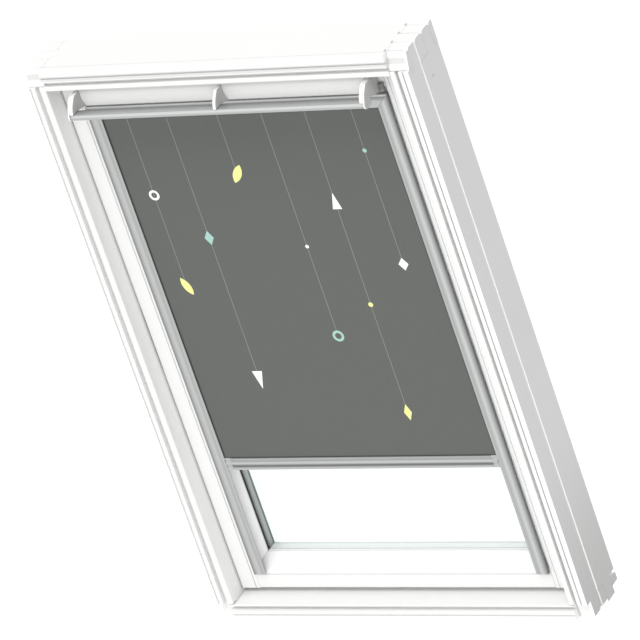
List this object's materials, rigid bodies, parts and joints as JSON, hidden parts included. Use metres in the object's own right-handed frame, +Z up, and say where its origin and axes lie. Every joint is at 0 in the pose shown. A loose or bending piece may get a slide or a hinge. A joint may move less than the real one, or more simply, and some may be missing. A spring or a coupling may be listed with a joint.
{
  "type": "skylight window with blackout roller blind",
  "caption": "White centre-pivot roof window with a ventilation flap and control bar, fitted with a side-railed blackout roller blind that is drawn most of the way down",
  "frame": {"origin": "middle of the sill's underside, at mid-depth of the frame", "axes": "+X to the right as seen from the room, +Y outwards to the weather, +Z up along the roof slope from sill to head"},
  "size_m": [0.78, 0.1465, 1.1845],
  "materials": {
    "white_timber": "pine under a closed satin white coating",
    "white_plastic": "satin white moulded plastic",
    "grey_plastic": "fine matt grey moulded plastic",
    "aluminium": "satin natural anodised extrusion",
    "coated_aluminium": "matt grey coated sheet",
    "steel": "zinc-plated pressed steel",
    "rubber": "matt black seal rubber",
    "glass": "clear float glass",
    "blind_cloth": "coated grey blackout cloth with a printed pattern",
    "filter_felt": "pleated dust filter felt"
  },
  "bodies": {
    "frame": {"frame_head": "white_timber", "frame_sill": "white_timber", "frame_side_right": "white_timber", "frame_side_left": "white_timber", "pivot_frame_plate_right": "steel", "pivot_frame_plate_left": "steel", "head_seal": "rubber", "sill_seal": "rubber", "strike_plate": "steel"},
    "sash": {"sash_stile_right": "white_timber", "sash_stile_left": "white_timber", "sash_bottom_rail": "white_timber", "sash_top_rail": "white_timber", "pane_inner": "glass", "pane_outer": "glass", "glazing_gasket_right": "rubber", "glazing_gasket_left": "rubber", "glazing_gasket_bottom": "rubber", "glazing_gasket_top": "rubber", "glass_spacer_right": "aluminium", "glass_spacer_left": "aluminium", "glass_spacer_bottom": "aluminium", "glass_spacer_top": "aluminium", "outer_cover_right": "coated_aluminium", "outer_cover_left": "coated_aluminium", "outer_cover_bottom": "coated_aluminium", "outer_cover_top": "coated_aluminium", "pivot_sash_plate_right": "steel", "pivot_sash_plate_left": "steel", "side_seal_lower_right": "rubber", "side_seal_lower_left": "rubber", "side_seal_upper_right": "rubber", "side_seal_upper_left": "rubber", "lock_case": "steel", "flap_hinge_right": "steel", "flap_hinge_left": "steel", "vent_filter": "filter_felt", "blind_side_rail_right": "aluminium", "blind_side_rail_left": "aluminium", "blind_casing": "aluminium", "blind_corner_right": "grey_plastic", "blind_corner_left": "grey_plastic", "rail_end_stop_right": "grey_plastic", "rail_end_stop_left": "grey_plastic", "blind_fabric": "blind_cloth"},
    "flap": {"control_arm_right": "white_plastic", "control_arm_left": "white_plastic", "control_arm_middle": "white_plastic", "flap_shell": "white_plastic", "control_bar": "aluminium", "control_bar_cap_right": "grey_plastic", "control_bar_cap_left": "grey_plastic"},
    "roller": {"roller_tube": "steel", "roller_plug_right": "grey_plastic", "roller_plug_left": "grey_plastic", "fabric_roll": "blind_cloth"},
    "bottom_bar": {"bottom_bar": "aluminium", "bar_slider_right": "grey_plastic", "bar_slider_left": "grey_plastic"}
  },
  "joints": [
    {"name": "sash_pivot", "type": "hinge", "parent": "frame", "child": "sash", "pos_m": [0, 0.015, 0.586], "axis": [1, 0, 0], "range_deg": [0, 160]},
    {"name": "flap_hinge", "type": "hinge", "parent": "sash", "child": "flap", "pos_m": [0, -0.0202, 1.09], "axis": [1, 0, 0], "range_deg": [0, 30]},
    {"name": "blind_slide", "type": "slide", "parent": "sash", "child": "bottom_bar", "axis": [0, 0, 1], "range_m": [-0.225, 0.715], "deforming": ["blind_fabric"]},
    {"name": "roller_turn", "type": "hinge", "parent": "sash", "child": "roller", "pos_m": [0, -0.0088, 1.065], "axis": [1, 0, 0], "range_deg": [-4000, 1270]}
  ],
  "couplings": [
    {"joint": "roller_turn", "follows": "blind_slide", "rad_per_m": -95.238}
  ]
}
